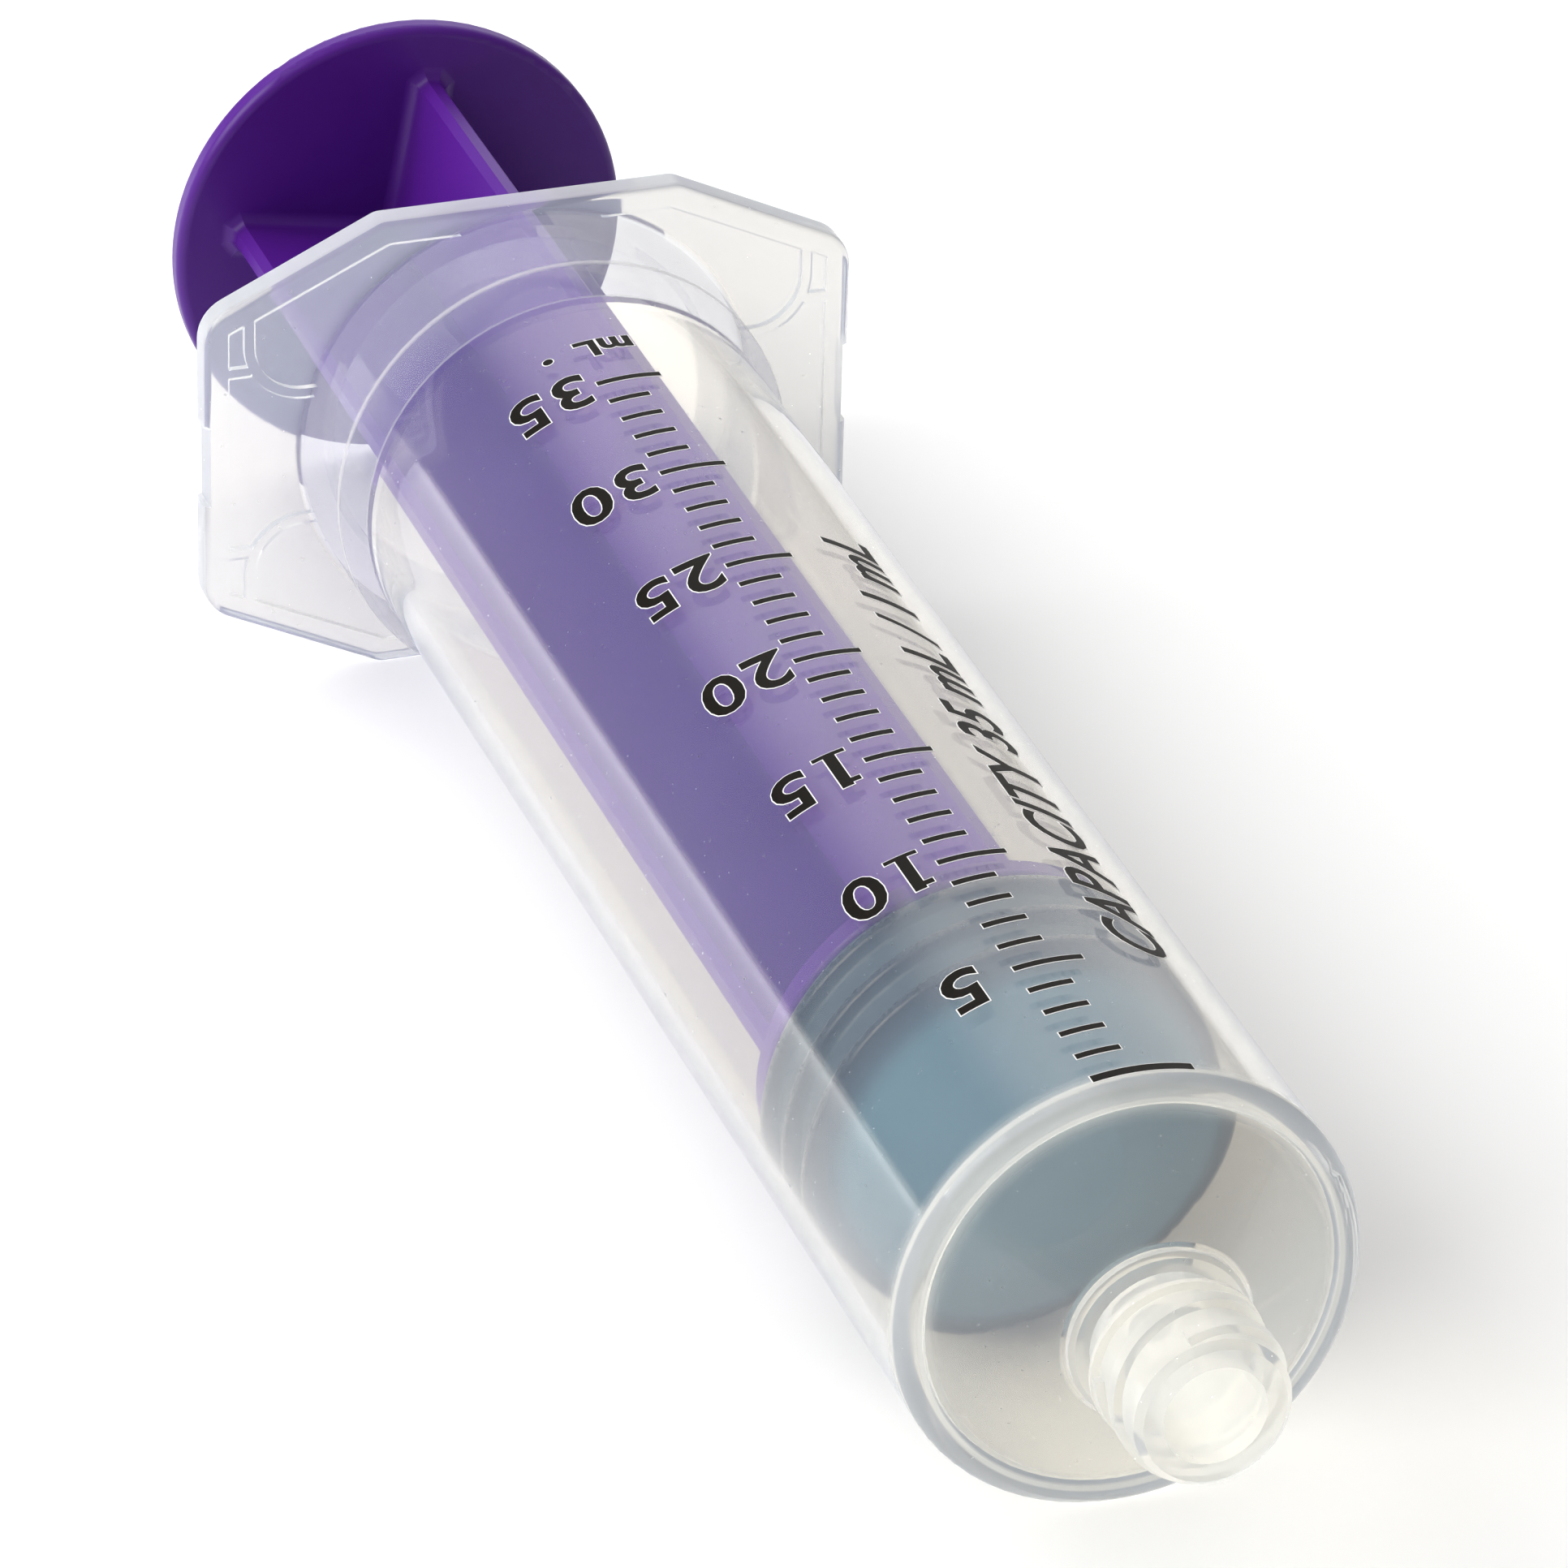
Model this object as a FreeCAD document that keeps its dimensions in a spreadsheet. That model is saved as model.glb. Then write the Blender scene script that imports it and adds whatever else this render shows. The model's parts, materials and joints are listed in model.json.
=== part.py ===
import FreeCAD, Part
import math
import os
import Sketcher

# Oral syringe of 35 mL: clear barrel with a finger flange and a threaded feeding tip, soft stopper, plunger rod.
# Frame: the origin is the centre of the tip's mouth, +X runs along the axis out of the tip, +Z is up and the
# flat long side of the finger flange faces down. All sizes are millimetres and all angles degrees.

TURN = 360.0

DIMENSIONS = [
    # chamber and barrel wall
    ("bore_radius", 11.76),
    ("wall", 1.09),
    ("volume_step", 2.3016),
    ("zero_gap", 1.25),
    ("rim_to_flange", 101.2),
    ("rim_round", 0.9),
    ("lead_in", 0.5),
    # collar behind the graduations
    ("collar_radius", 13.9),
    ("collar_length", 6.6),
    ("collar_slope", 2.4),
    # finger flange
    ("flange_thickness", 2.0),
    ("flange_half_length", 20.1),
    ("flange_half_height", 14.7),
    ("flange_flat_half", 9.2),
    ("flange_side_half", 9.5),
    ("flange_corner", 2.6),
    ("flange_shoulder", 1.2),
    ("flange_edge", 0.4),
    ("recess_depth", 0.45),
    ("recess_border", 1.5),
    ("pocket_wall", 0.65),
    ("pocket_side", 17.0),
    ("pocket_foot", 4.5),
    ("pocket_corner", 3.1),
    ("bridge_level", 5.7),
    ("notch_half", 2.6),
    ("notch_depth", 0.35),
    # front wall
    ("land_width", 1.35),
    ("cone_drop", 0.25),
    ("cone_height", 3.5),
    ("inner_cone_height", 4.25),
    ("inner_flat_radius", 4.0),
    # threaded tip
    ("tip_length", 11.8),
    ("base_ring_radius", 5.0),
    ("base_ring_top", 4.2),
    ("neck_radius", 3.95),
    ("neck_end", 6.1),
    ("shoulder_width", 0.5),
    ("shoulder_radius", 4.8),
    ("thread_root", 4.3),
    ("socket_radius", 2.845),
    ("socket_land", 1.0),
    ("socket_end_radius", 2.65),
    ("socket_depth", 7.6),
    ("lumen_radius", 1.5),
    ("thread_crest", 4.7),
    ("thread_lead", 5.0),
    ("thread_run", 4.0),
    ("thread_foot", 1.5),
    ("thread_top", 0.8),
    ("thread_setback", 1.1),
    # stopper
    ("reading", 6.0),
    ("rib_clearance", 0.05),
    ("rib_setback", 0.7),
    ("rib_spacing", 3.25),
    ("rib_half", 0.75),
    ("rib_crest_half", 0.3),
    ("stopper_relief", 0.65),
    ("stopper_tail", 1.3),
    ("stopper_nose_radius", 4.0),
    ("socket_gap", 0.3),
    # plunger rod
    ("rod_disc_radius", 11.2),
    ("rod_disc_thickness", 1.4),
    ("fin_radius", 10.9),
    ("fin_thickness", 1.6),
    ("fin_bevel", 0.45),
    ("fin_turn", 80.0),
    ("head_stem_radius", 3.6),
    ("head_stem_length", 1.8),
    ("head_radius", 5.2),
    ("head_length", 2.6),
    ("head_nose_radius", 3.4),
    ("thumb_radius", 14.3),
    ("thumb_thickness", 1.8),
    ("thumb_edge", 0.6),
    ("rim_to_thumb", 127.2),
    ("foot_fillet", 0.8),
]

document = FreeCAD.newDocument("oral_syringe")
sheet = document.addObject("Spreadsheet::Sheet", "Sizes")
for row, (alias, value) in enumerate(DIMENSIONS, start=1):
    sheet.set("A%d" % row, alias)
    sheet.set("B%d" % row, str(value))
    sheet.setAlias("B%d" % row, alias)
document.recompute()


def size(name):
    """The value of one driving dimension."""
    return float(sheet.get(name))


def bound(text):
    """An expression that reads each dimension named in the text from the sheet."""
    for alias, _ in sorted(DIMENSIONS, key=lambda pair: -len(pair[0])):
        text = text.replace("{%s}" % alias, "Sizes.%s" % alias)
    return text


def value_of(text):
    """The number that an expression in named dimensions stands for."""
    document.recompute()
    return float(sheet.evalExpression(bound(text)))


# Stations along the axis, each as an expression in the driving dimensions.
RIM = "-{tip_length}"
FLANGE_FRONT = "(-{tip_length} - {rim_to_flange})"
REAR = "(-{tip_length} - {rim_to_flange} - {flange_thickness})"
OUTER = "({bore_radius} + {wall})"
FRONT_RIB = "(-{tip_length} - {zero_gap} - {reading} * {volume_step} - {rib_setback})"
TAIL = "(%s - 2 * {rib_spacing} - {stopper_tail})" % FRONT_RIB
THUMB_FRONT = "(-{tip_length} - {rim_to_thumb})"
CONE_RATIO = "({inner_cone_height} / ({bore_radius} - {inner_flat_radius}))"


def origin_plane(body, role):
    """One of the body's own origin planes."""
    return next(feature for feature in body.Origin.OriginFeatures if feature.Role == role)


def new_sketch(body, name, role, offset=None):
    """A sketch on an origin plane, moved along the plane's normal by an expression."""
    sketch = body.newObject("Sketcher::SketchObject", name)
    sketch.AttachmentSupport = [(origin_plane(body, role), "")]
    sketch.MapMode = "FlatFace"
    if offset:
        sketch.setExpression("AttachmentOffset.Base.z", bound(offset))
    return sketch


def pin_point(sketch, edge, end, axis, text):
    """Ties one coordinate of an edge's end to an expression, or to the axis itself for zero."""
    if text == "0":
        sketch.addConstraint(Sketcher.Constraint("PointOnObject", edge, end, -2 if axis == "X" else -1))
        return
    number = value_of(text)
    index = sketch.addConstraint(Sketcher.Constraint("Distance" + axis, -1, 1, edge, end, number))
    sketch.setExpression("Constraints[%d]" % index, bound(text))


def add_polygon(sketch, corners):
    """A closed polygon whose corners are pairs of expressions."""
    spots = [FreeCAD.Vector(value_of(a), value_of(b), 0) for a, b in corners]
    first = sketch.GeometryCount
    count = len(spots)
    for index in range(count):
        sketch.addGeometry(Part.LineSegment(spots[index], spots[(index + 1) % count]), False)
    for index in range(count):
        following = first + (index + 1) % count
        sketch.addConstraint(Sketcher.Constraint("Coincident", first + index, 2, following, 1))
    for index, (a, b) in enumerate(corners):
        pin_point(sketch, first + index, 1, "X", a)
        pin_point(sketch, first + index, 1, "Y", b)


def mirrored(corners, flip_first=False, flip_second=False):
    """The same corners with one or both coordinates negated."""
    return [
        ("-(%s)" % a if flip_first else a, "-(%s)" % b if flip_second else b)
        for a, b in corners
    ]


def pad(body, name, sketch, length, backwards=False):
    """A pad of a sketch."""
    feature = body.newObject("PartDesign::Pad", name)
    feature.Profile = sketch
    feature.Reversed = backwards
    feature.setExpression("Length", bound(length))
    document.recompute()
    return feature


def pocket(body, name, sketch, depth, along_normal=False):
    """A pocket of a sketch; it runs against the sketch's normal unless told otherwise."""
    before = body.Shape.Volume
    feature = body.newObject("PartDesign::Pocket", name)
    feature.Profile = sketch
    feature.Reversed = along_normal
    feature.setExpression("Length", bound(depth))
    document.recompute()
    if body.Shape.Volume >= before:
        raise RuntimeError(name + " removes nothing")
    return feature


def turned(body, kind, name, sketch):
    """A full revolution or groove about the sketch's horizontal axis."""
    feature = body.newObject(kind, name)
    feature.Profile = sketch
    feature.ReferenceAxis = (sketch, ["H_Axis"])
    feature.Angle = TURN
    document.recompute()
    return feature


def fillet(body, name, radius, wanted):
    """A fillet of the edges of the body's tip that the test accepts."""
    base = body.Tip
    names = ["Edge%d" % n for n, edge in enumerate(base.Shape.Edges, start=1) if wanted(edge)]
    if not names:
        raise RuntimeError(name + " finds no edge")
    feature = body.newObject("PartDesign::Fillet", name)
    feature.Base = (base, names)
    feature.setExpression("Radius", bound(radius))
    document.recompute()
    return feature


def near(value, target, within=0.02):
    return abs(value - target) < within


def runs_along_x(edge):
    """True for a straight edge parallel to the axis."""
    ends = edge.Vertexes
    if len(ends) != 2 or not isinstance(edge.Curve, Part.Line):
        return False
    step = ends[1].Point.sub(ends[0].Point)
    return near(step.y, 0) and near(step.z, 0)


def along_x_at(spots):
    """A test for straight edges parallel to the axis that pass one of the (|y|, |z|) spots."""
    def test(edge):
        if not runs_along_x(edge):
            return False
        point = edge.Vertexes[0].Point
        return any(near(abs(point.y), y) and near(abs(point.z), z) for y, z in spots)
    return test


def circle_at(radius, x):
    """A test for full circles about the axis of one radius at one station."""
    def test(edge):
        curve = edge.Curve
        return (
            isinstance(curve, Part.Circle)
            and near(curve.Radius, radius)
            and near(curve.Center.x, x)
            and near(curve.Center.y, 0)
            and near(curve.Center.z, 0)
        )
    return test


# ---------------------------------------------------------------- barrel
barrel = document.addObject("PartDesign::Body", "barrel_body")
barrel.Label = "barrel"


def octagon(inset_ends, inset_sides):
    """The flange's outline, drawn in by two expressions."""
    half_length = "({flange_half_length} - %s)" % inset_ends
    half_height = "({flange_half_height} - %s)" % inset_sides
    flat = "({flange_flat_half} - 0.3 * %s)" % inset_sides
    side = "({flange_side_half} - 0.6 * %s)" % inset_sides
    quarter = [(half_length, side), (flat, half_height)]
    return (
        quarter
        + mirrored(quarter[::-1], flip_first=True)
        + mirrored(quarter, flip_first=True, flip_second=True)
        + mirrored(quarter[::-1], flip_second=True)
    )


sketch = new_sketch(barrel, "FlangeOutline", "YZ_Plane", FLANGE_FRONT)
add_polygon(sketch, octagon("0", "0"))
pad(barrel, "Flange", sketch, "{flange_thickness}", backwards=True)
ends = [(size("flange_half_length"), size("flange_side_half"))]
shoulders = [(size("flange_flat_half"), size("flange_half_height"))]
fillet(barrel, "FlangeEnds", "{flange_corner}", along_x_at(ends))
fillet(barrel, "FlangeShoulders", "{flange_shoulder}", along_x_at(shoulders))


def on_outline(edge):
    """True for edges of the flange's front and rear outline."""
    xs = [vertex.Point.x for vertex in edge.Vertexes]
    stations = [value_of(FLANGE_FRONT), value_of(REAR)]
    return any(all(near(x, station) for x in xs) for station in stations)


fillet(barrel, "FlangeEdge", "{flange_edge}", on_outline)

# The front of the flange is recessed inside a border, with two walled pockets and four short bridges left standing.
sketch = new_sketch(barrel, "RecessOutline", "YZ_Plane", FLANGE_FRONT)
add_polygon(sketch, octagon("{recess_border}", "{recess_border}"))
pocket(barrel, "Recess", sketch, "{recess_depth}")

FLOOR = "(-{tip_length} - {rim_to_flange} - {recess_depth})"


def pocket_corners(grow):
    """The upper pocket's outline; it reaches into the border when it is grown."""
    side = "({pocket_side} + %s)" % grow
    foot = "({pocket_foot} - %s)" % grow
    top = "({flange_half_height} - {recess_border} + 0.4 * %s)" % grow
    shoulder = "({flange_side_half} - 0.2 + 0.4 * %s)" % grow
    flat = "({flange_flat_half} - 0.3 * {recess_border})"
    return [
        (side, foot),
        (side, shoulder),
        (flat, top),
        ("-" + flat, top),
        ("-" + side, shoulder),
        ("-" + side, foot),
    ]


sketch = new_sketch(barrel, "PocketWallOutline", "YZ_Plane", FLOOR)
add_polygon(sketch, pocket_corners("{pocket_wall}"))
add_polygon(sketch, mirrored(pocket_corners("{pocket_wall}"), flip_second=True))
pad(barrel, "PocketWalls", sketch, "{recess_depth}")
sketch = new_sketch(barrel, "PocketOutline", "YZ_Plane", FLANGE_FRONT)
add_polygon(sketch, pocket_corners("0"))
add_polygon(sketch, mirrored(pocket_corners("0"), flip_second=True))
pocket(barrel, "Pockets", sketch, "{recess_depth}")
inner_corner = [(size("pocket_side"), size("pocket_foot"))]
fillet(barrel, "PocketCorners", "{pocket_corner}", along_x_at(inner_corner))
outer_corner = [(size("pocket_side") + size("pocket_wall"), size("pocket_foot") - size("pocket_wall"))]
fillet(barrel, "PocketWallCorners", "{pocket_corner} + {pocket_wall}", along_x_at(outer_corner))

sketch = new_sketch(barrel, "BridgeOutline", "YZ_Plane", FLOOR)
bridge = [
    ("{pocket_side} + 0.2", "{bridge_level}"),
    ("{flange_half_length} - {recess_border} + 0.2", "{bridge_level}"),
    ("{flange_half_length} - {recess_border} + 0.2", "{bridge_level} + {pocket_wall}"),
    ("{pocket_side} + 0.2", "{bridge_level} + {pocket_wall}"),
]
for left in (False, True):
    for low in (False, True):
        add_polygon(sketch, mirrored(bridge, flip_first=left, flip_second=low))
pad(barrel, "Bridges", sketch, "{recess_depth}")

# A shallow notch lies in the middle of each short end of the flange.
sketch = new_sketch(barrel, "NotchOutline", "YZ_Plane", FLANGE_FRONT)
notch = [
    ("{flange_half_length} - {notch_depth}", "-{notch_half}"),
    ("{flange_half_length} + 1", "-{notch_half}"),
    ("{flange_half_length} + 1", "{notch_half}"),
    ("{flange_half_length} - {notch_depth}", "{notch_half}"),
]
add_polygon(sketch, notch)
add_polygon(sketch, mirrored(notch, flip_first=True))
pocket(barrel, "Notches", sketch, "{flange_thickness}")

# The barrel, its collar, the sloped front wall and the tip's core are one turned solid.
sketch = new_sketch(barrel, "BarrelProfile", "XY_Plane")
add_polygon(sketch, [
    (REAR, "0"),
    (REAR, "{collar_radius}"),
    (FLANGE_FRONT + " + {collar_length}", "{collar_radius}"),
    (FLANGE_FRONT + " + {collar_length} + {collar_slope}", OUTER),
    (RIM, OUTER),
    (RIM, OUTER + " - {land_width}"),
    (RIM + " - {cone_drop}", OUTER + " - {land_width} - {cone_drop}"),
    (RIM + " + {cone_height}", "{base_ring_radius} + 0.3"),
    (RIM + " + {cone_height}", "{base_ring_radius}"),
    (RIM + " + {base_ring_top} - 0.25", "{base_ring_radius}"),
    (RIM + " + {base_ring_top}", "{base_ring_radius} - 0.25"),
    (RIM + " + {base_ring_top}", "{neck_radius}"),
    (RIM + " + {neck_end}", "{neck_radius}"),
    (RIM + " + {neck_end} + 0.2", "{shoulder_radius}"),
    (RIM + " + {neck_end} + {shoulder_width}", "{shoulder_radius}"),
    (RIM + " + {neck_end} + {shoulder_width}", "{thread_root}"),
    ("-0.4", "{thread_root}"),
    ("0", "{thread_root} - 0.4"),
    ("0", "0"),
])
turned(barrel, "PartDesign::Revolution", "Barrel", sketch)
fillet(barrel, "RimRound", "{rim_round}", circle_at(value_of(OUTER), value_of(RIM)))

# Two thread starts stand on the tip ahead of its neck, half a turn apart.
for name, side in (("ThreadOne", ""), ("ThreadTwo", "-")):
    sketch = new_sketch(barrel, name + "Profile", "XY_Plane")
    start = "(-{thread_setback} - {thread_run})"
    add_polygon(sketch, [
        (start + " - {thread_foot} / 2", side + "({thread_root} - 0.3)"),
        (start + " + {thread_foot} / 2", side + "({thread_root} - 0.3)"),
        (start + " + {thread_top} / 2", side + "{thread_crest}"),
        (start + " - {thread_top} / 2", side + "{thread_crest}"),
    ])
    helix = barrel.newObject("PartDesign::AdditiveHelix", name)
    helix.Profile = sketch
    helix.ReferenceAxis = (sketch, ["H_Axis"])
    helix.Mode = 0
    helix.setExpression("Pitch", bound("{thread_lead}"))
    helix.setExpression("Height", bound("{thread_run}"))
    document.recompute()

sketch = new_sketch(barrel, "ChamberProfile", "XY_Plane")
add_polygon(sketch, [
    (REAR + " - 1", "0"),
    (REAR + " - 1", "{bore_radius} + {lead_in}"),
    (REAR, "{bore_radius} + {lead_in}"),
    (REAR + " + {lead_in}", "{bore_radius}"),
    (RIM + " - {zero_gap}", "{bore_radius}"),
    (RIM + " - {zero_gap} + {inner_cone_height}", "{inner_flat_radius}"),
    (RIM + " - {zero_gap} + {inner_cone_height}", "{lumen_radius}"),
    ("-{socket_depth}", "{lumen_radius}"),
    ("-{socket_depth}", "{socket_end_radius}"),
    ("-{socket_land}", "{socket_radius}"),
    ("1", "{socket_radius}"),
    ("1", "0"),
])
turned(barrel, "PartDesign::Groove", "Chamber", sketch)

# ---------------------------------------------------------------- stopper
stopper = document.addObject("PartDesign::Body", "stopper_body")
stopper.Label = "stopper"
RIB = "({bore_radius} - {rib_clearance})"
VALLEY = "({bore_radius} - {stopper_relief})"
profile = [(TAIL, "0"), (TAIL, VALLEY)]
for step in (2, 1, 0):
    middle = FRONT_RIB + " - %d * {rib_spacing}" % step
    profile += [
        (middle + " - {rib_half}", VALLEY),
        (middle + " - {rib_crest_half}", RIB),
        (middle + " + {rib_crest_half}", RIB),
        (middle + " + {rib_half}", VALLEY),
    ]
NOSE = "(%s + {rib_half} + (%s - {stopper_nose_radius}) * %s)" % (FRONT_RIB, VALLEY, CONE_RATIO)
profile += [(NOSE, "{stopper_nose_radius}"), (NOSE, "0")]
sketch = new_sketch(stopper, "StopperProfile", "XY_Plane")
add_polygon(sketch, profile)
turned(stopper, "PartDesign::Revolution", "Stopper", sketch)

# A keyhole-shaped socket at the back takes the rod's head.
sketch = new_sketch(stopper, "SocketProfile", "XY_Plane")
HEAD_END = "(%s + {head_stem_length} + {head_length})" % TAIL
add_polygon(sketch, [
    (TAIL + " - 1", "0"),
    (TAIL + " - 1", "{head_stem_radius} + {socket_gap}"),
    (TAIL + " + {head_stem_length} - {socket_gap} / 3", "{head_stem_radius} + {socket_gap}"),
    (TAIL + " + {head_stem_length} - {socket_gap} / 3", "{head_radius} + {socket_gap}"),
    (TAIL + " + {head_stem_length} + {head_length} / 2", "{head_radius} + {socket_gap}"),
    (HEAD_END + " + {socket_gap}", "{head_nose_radius} + {socket_gap}"),
    (HEAD_END + " + {socket_gap}", "0"),
])
turned(stopper, "PartDesign::Groove", "Socket", sketch)

# ---------------------------------------------------------------- plunger rod
rod = document.addObject("PartDesign::Body", "rod_body")
rod.Label = "plunger_rod"
DISC_FRONT = "(%s - 0.1)" % TAIL

sketch = new_sketch(rod, "HeadProfile", "XY_Plane")
add_polygon(sketch, [
    (DISC_FRONT + " - {rod_disc_thickness}", "0"),
    (DISC_FRONT + " - {rod_disc_thickness}", "{rod_disc_radius}"),
    (DISC_FRONT, "{rod_disc_radius}"),
    (DISC_FRONT, "{head_stem_radius}"),
    (TAIL + " + {head_stem_length}", "{head_stem_radius}"),
    (TAIL + " + {head_stem_length}", "{head_radius}"),
    (TAIL + " + {head_stem_length} + {head_length} / 2", "{head_radius}"),
    (HEAD_END, "{head_nose_radius}"),
    (HEAD_END, "0"),
])
turned(rod, "PartDesign::Revolution", "Head", sketch)
fillet(rod, "FrontDiscEdge", "0.3", circle_at(size("rod_disc_radius"), value_of(DISC_FRONT)))

sketch = new_sketch(rod, "CrossOutline", "YZ_Plane", DISC_FRONT + " - {rod_disc_thickness}")
half = "({fin_thickness} / 2)"
crest = "(%s - {fin_bevel})" % half
cross_quarter = [
    ("{fin_radius}", crest),
    ("({fin_radius} - {fin_bevel})", half),
    (half, half),
    (half, "({fin_radius} - {fin_bevel})"),
    (crest, "{fin_radius}"),
]
add_polygon(
    sketch,
    cross_quarter
    + mirrored(cross_quarter[::-1], flip_first=True)
    + mirrored(cross_quarter, flip_first=True, flip_second=True)
    + mirrored(cross_quarter[::-1], flip_second=True),
)
FIN_LENGTH = "(%s - {rod_disc_thickness} - %s)" % (DISC_FRONT, THUMB_FRONT)
pad(rod, "Fins", sketch, FIN_LENGTH, backwards=True)

sketch = new_sketch(rod, "ThumbProfile", "XY_Plane")
add_polygon(sketch, [
    (THUMB_FRONT + " - {thumb_thickness}", "0"),
    (THUMB_FRONT + " - {thumb_thickness}", "{thumb_radius}"),
    (THUMB_FRONT, "{thumb_radius}"),
    (THUMB_FRONT, "0"),
])
turned(rod, "PartDesign::Revolution", "ThumbDisc", sketch)
thumb_front = value_of(THUMB_FRONT)
thumb_rear = thumb_front - size("thumb_thickness")
thumb_radius = size("thumb_radius")
front_edge = circle_at(thumb_radius, thumb_front)
rear_edge = circle_at(thumb_radius, thumb_rear)
fillet(rod, "ThumbEdge", "{thumb_edge}", lambda edge: front_edge(edge) or rear_edge(edge))


def meets_disc(edge):
    """True for the lines where the fins stand on the thumb disc."""
    points = [vertex.Point for vertex in edge.Vertexes]
    if len(points) != 2 or not isinstance(edge.Curve, Part.Line):
        return False
    return all(near(point.x, thumb_front) for point in points)


fillet(rod, "FinFeet", "{foot_fillet}", meets_disc)
rod.setExpression("Placement.Rotation.Axis.x", "1")
rod.setExpression("Placement.Rotation.Axis.z", "0")
rod.setExpression("Placement.Rotation.Angle", bound("{fin_turn}"))
document.recompute()

# ---------------------------------------------------------------- checks and files
bodies = [barrel, stopper, rod]
for item in document.Objects:
    if any(word in item.State for word in ("Invalid", "Error")):
        raise RuntimeError("%s is %s" % (item.Name, item.State))
os.makedirs("parts", exist_ok=True)
for body in bodies:
    if body.Shape.isNull() or not body.Shape.isValid():
        raise RuntimeError(body.Label + " has no valid shape")
    body.Shape.exportStep("parts/%s.step" % body.Label)
    box = body.Shape.BoundBox
    print("%s volume %.1f, x %.2f to %.2f, y %.2f to %.2f, z %.2f to %.2f" % (
        body.Label, body.Shape.Volume, box.XMin, box.XMax, box.YMin, box.YMax, box.ZMin, box.ZMax))
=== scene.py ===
"""Looks of a clear oral syringe with a purple plunger rod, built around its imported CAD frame."""
import json
import math

import bpy
from mathutils import Matrix, Vector


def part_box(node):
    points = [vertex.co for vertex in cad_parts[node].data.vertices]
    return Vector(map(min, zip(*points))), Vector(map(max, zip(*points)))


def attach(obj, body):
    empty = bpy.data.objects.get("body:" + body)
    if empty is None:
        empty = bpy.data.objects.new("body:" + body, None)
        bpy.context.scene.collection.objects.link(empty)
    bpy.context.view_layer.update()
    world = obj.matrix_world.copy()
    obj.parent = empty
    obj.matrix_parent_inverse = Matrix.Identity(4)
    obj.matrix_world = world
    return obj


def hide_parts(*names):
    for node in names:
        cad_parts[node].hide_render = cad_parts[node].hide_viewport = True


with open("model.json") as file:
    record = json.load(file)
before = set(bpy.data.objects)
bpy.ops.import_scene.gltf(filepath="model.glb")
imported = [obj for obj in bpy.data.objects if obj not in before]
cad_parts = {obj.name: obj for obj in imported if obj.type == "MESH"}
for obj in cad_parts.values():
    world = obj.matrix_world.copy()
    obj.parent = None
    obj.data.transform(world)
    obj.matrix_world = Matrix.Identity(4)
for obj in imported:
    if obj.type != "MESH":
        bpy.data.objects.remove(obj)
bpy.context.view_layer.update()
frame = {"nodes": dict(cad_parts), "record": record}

MOUNTS = {mount["name"]: mount for mount in frame["record"]["mounts"]}

bl_info = {
    "name": "Oral syringe looks",
    "version": (1, 0, 0),
    "blender": (4, 5, 0),
    "location": "View3D > Sidebar > Syringe",
    "description": "Finishes, stopper, printed scale and studio for a clear oral syringe",
    "category": "Object",
}

MM = 0.001

# Sizes of the barrel that the record doesn't give.
RIM_ROUND = 0.9 * MM
RIM_MOUTH_RADIUS = 11.6 * MM
TIP_RING_RADIUS = 5.0 * MM
FINGER_RECESS = 0.45 * MM
COLLAR_LENGTH = 6.6 * MM
COLLAR_SLOPE = 2.4 * MM
COLLAR_RADIUS = 13.9 * MM

# Places along the barrel's axis, from the tip at 0 back to the flange, and the barrel's radius.
BARREL_RADIUS = MOUNTS["barrel_body"]["dims"]["r_mm"] * MM
RIM_FOOT = MOUNTS["barrel_body"]["pos_m"][0]
RIM = RIM_FOOT + RIM_ROUND
FLANGE_LOW = MOUNTS["flange_rest_edge"]["pos_m"]
FLANGE_FRONT = MOUNTS["finger_face"]["pos_m"][0] + FINGER_RECESS
COLLAR_CREST = FLANGE_FRONT + COLLAR_LENGTH
COLLAR_FOOT = COLLAR_CREST + COLLAR_SLOPE

# The stopper's sealing ribs.
RIBS = 3

# The raised print: how far it is sunk into the barrel's skin, how high it stands, how far the painted
# pale halo around the ink reaches past it, and how long its facets are.
BURY = 0.01 * MM
LINE_HEIGHT = 0.035 * MM
LINE_EDGE_HEIGHT = 0.015 * MM
LINE_EDGE = 0.06 * MM
TEXT_HEIGHT = 0.045 * MM
TEXT_EDGE_HEIGHT = 0.025 * MM
TEXT_EDGE = 0.07 * MM
FACET_DEGREES = 2.5
TEXT_FACET = 0.45 * MM
TEXT_FACETS_EACH_WAY = 6
MERGE_DISTANCE = 0.2e-6

# The scale: readings in millilitres, angles around the barrel in degrees, and for the digits one
# angle each, by how many digits a numeral has. A weight is how much the strokes are thickened.
MAJOR_STEP = 5
ZERO_LINE_WEIGHT = 1.3
DIGIT_WEIGHT = 0.09 * MM
DIGIT_ANGLES = {1: (112.8,), 2: (107.3, 119.6)}
UNIT_READING = 36.8
UNIT_ANGLE, UNIT_TALL, UNIT_WIDE = 92.3, 1.84 * MM, 3.4 * MM
DOT_ANGLE, DOT_TALL, DOT_WEIGHT = 107.8, 3.2 * MM, 0.04 * MM

# The legend, which reads along the barrel.
LEGEND = "CAPACITY 35 mL / 1 mL"
LEGEND_MIDDLE = RIM - 38.0 * MM
LEGEND_ANGLE, LEGEND_TALL, LEGEND_WIDE = 64.0, 3.3 * MM, 48.0 * MM
LEGEND_SLANT, LEGEND_WEIGHT = 0.3, 0.07 * MM

# A font's capital letters are this share of its size.
CAPITAL_SHARE = 0.72

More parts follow.
